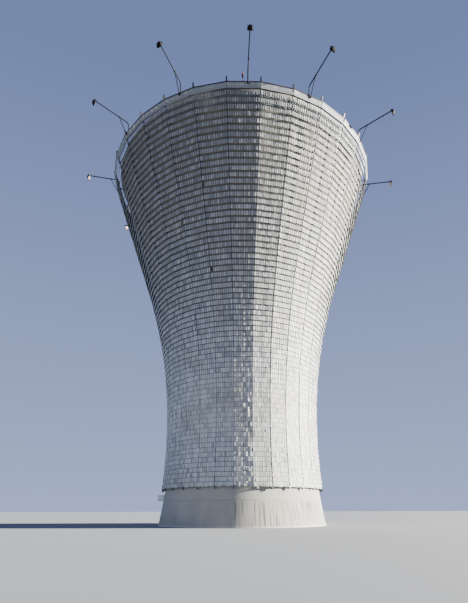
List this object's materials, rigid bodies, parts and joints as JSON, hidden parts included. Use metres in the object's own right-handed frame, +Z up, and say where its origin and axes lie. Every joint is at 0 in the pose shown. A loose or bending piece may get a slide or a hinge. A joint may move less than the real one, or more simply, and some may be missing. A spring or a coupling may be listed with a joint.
{
  "type": "water tower",
  "caption": "Round concrete water tower with a narrow waist and a flared head, wrapped in a faceted screen of hanging metal plates, with a ring of floodlights on long arms.",
  "frame": {"origin": "on the ground at the tower's vertical axis, in the underside of the floor slab and base wall", "axes": "+Z up; -Y is the side seen in the picture, at the middle of the front facet; +X to the right in the picture"},
  "size_m": [32.0777, 32.0862, 36.3389],
  "materials": {
    "concrete": "matt cast concrete",
    "metal_plates": "satin, dusty",
    "galvanised_steel": "satin, weathered",
    "dark_paint": "satin",
    "red_lens": "gloss"
  },
  "bodies": {
    "root": {"floor_slab": "concrete", "base_wall_01": "concrete", "base_wall_02": "concrete", "base_wall_03": "concrete", "base_wall_04": "concrete", "shaft_wall_01": "concrete", "shaft_wall_02": "concrete", "shaft_wall_03": "concrete", "shaft_wall_04": "concrete", "tank_floor": "concrete", "tank_wall_01": "concrete", "tank_wall_02": "concrete", "tank_wall_03": "concrete", "tank_wall_04": "concrete", "tank_roof": "concrete", "side_canopy": "concrete", "screen_panel_01": "metal_plates", "screen_panel_02": "metal_plates", "screen_panel_03": "metal_plates", "screen_panel_04": "metal_plates", "screen_panel_05": "metal_plates", "screen_panel_06": "metal_plates", "screen_panel_07": "metal_plates", "screen_panel_08": "metal_plates", "screen_panel_09": "metal_plates", "screen_panel_10": "metal_plates", "rib_frame_01": "galvanised_steel", "rib_frame_02": "galvanised_steel", "rib_frame_03": "galvanised_steel", "rib_frame_04": "galvanised_steel", "rib_frame_05": "galvanised_steel", "rib_frame_06": "galvanised_steel", "rib_frame_07": "galvanised_steel", "rib_frame_08": "galvanised_steel", "rib_frame_09": "galvanised_steel", "rib_frame_10": "galvanised_steel", "floodlight_arm_01": "dark_paint", "floodlight_arm_02": "dark_paint", "floodlight_arm_03": "dark_paint", "floodlight_arm_04": "dark_paint", "floodlight_arm_05": "dark_paint", "floodlight_arm_06": "dark_paint", "floodlight_arm_07": "dark_paint", "floodlight_arm_08": "dark_paint", "floodlight_arm_09": "dark_paint", "floodlight_arm_10": "dark_paint", "floodlight_arm_11": "dark_paint", "floodlight_arm_12": "dark_paint", "obstruction_light_post": "dark_paint", "obstruction_light_dome": "red_lens"}
  },
  "joints": []
}
